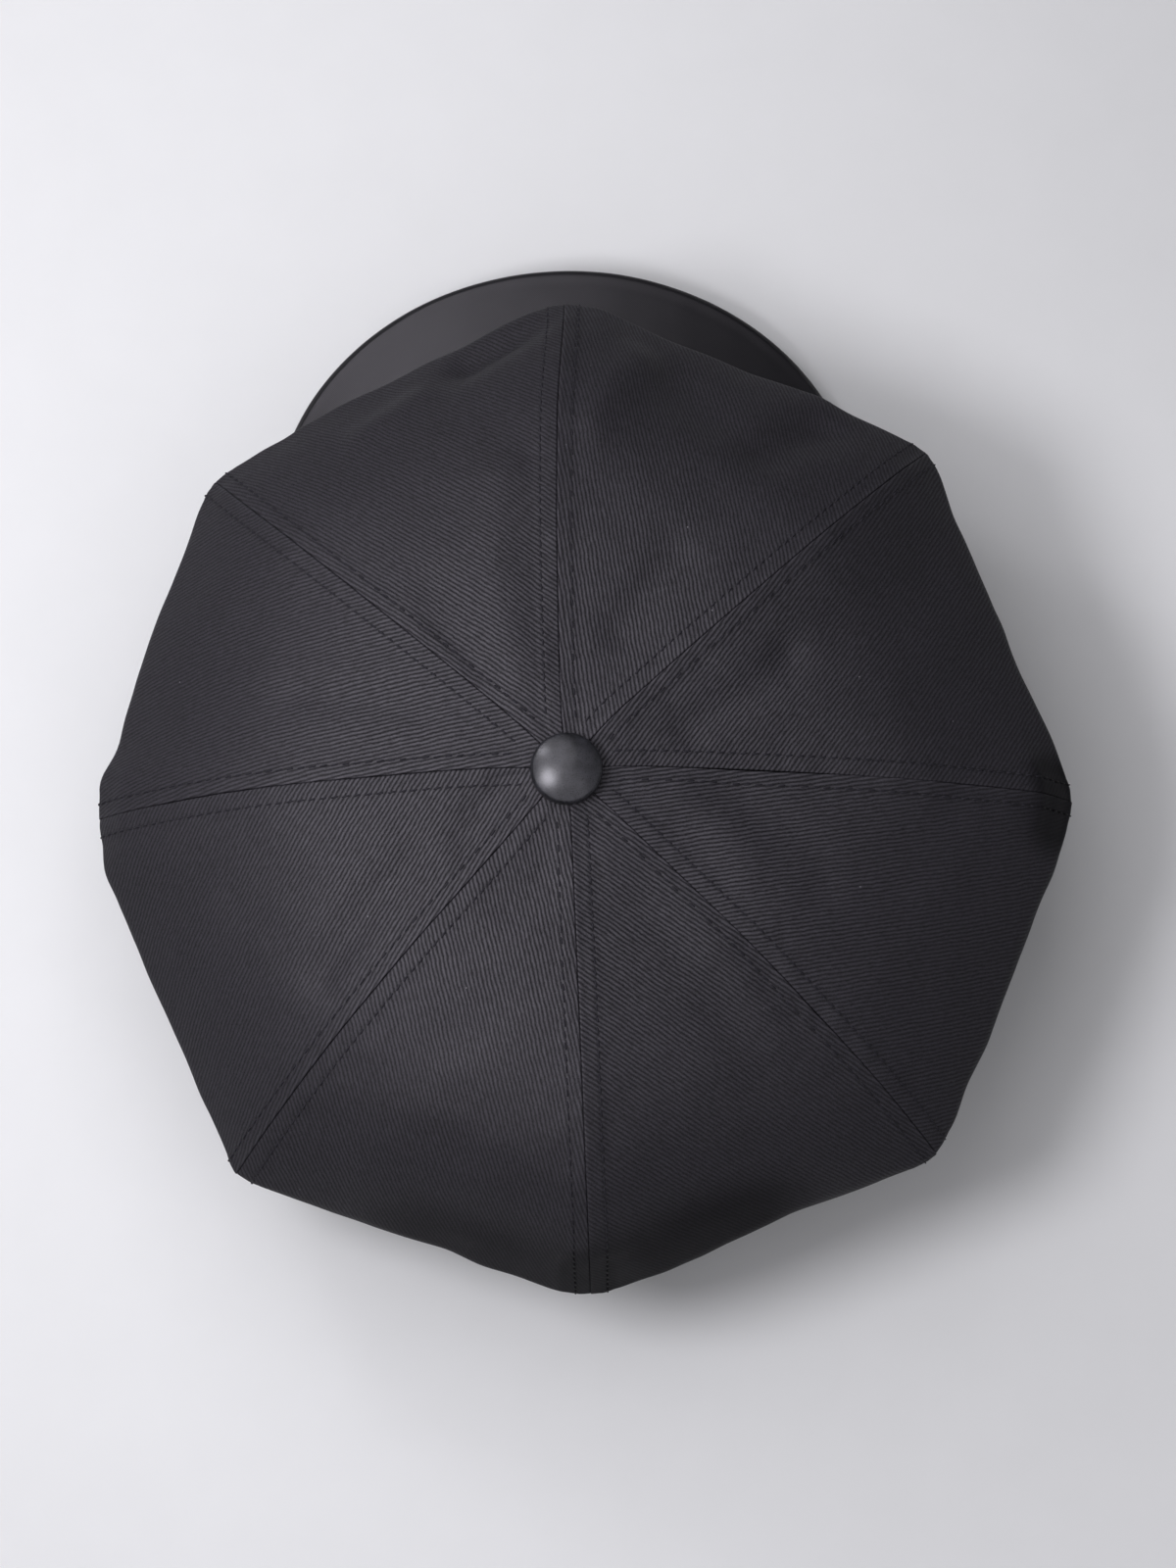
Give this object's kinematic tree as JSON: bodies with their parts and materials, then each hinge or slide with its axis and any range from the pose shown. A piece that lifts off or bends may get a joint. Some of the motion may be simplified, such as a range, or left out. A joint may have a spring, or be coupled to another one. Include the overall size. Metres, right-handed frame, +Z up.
{
  "type": "long bill cap",
  "caption": "Soft eight-panel casquette cap of heavy black twill with a wide octagonal crown, a covered top button, an upright band and a long arched bill.",
  "frame": {"origin": "bottom centre of the whole cap's box, on the surface it rests on; the band's and the bill's middle plane is x = +6.16 mm and the head opening's centre is y = +19.82 mm", "axes": "+Z up out of the button, -Y the way the bill points, +X the wearer's left"},
  "size_m": [0.2844, 0.3158, 0.1138],
  "materials": {
    "twill": "matt heavy cotton twill, fine diagonal ribs",
    "bill_cloth": "smooth matt cloth drawn over a board",
    "button_cover": "satin, finely grained"
  },
  "bodies": {
    "root": {"crown_panel_1": "twill", "crown_panel_2": "twill", "crown_panel_3": "twill", "crown_panel_4": "twill", "crown_panel_5": "twill", "crown_panel_6": "twill", "crown_panel_7": "twill", "crown_panel_8": "twill", "band": "twill", "bill": "bill_cloth", "button": "button_cover"}
  },
  "joints": []
}
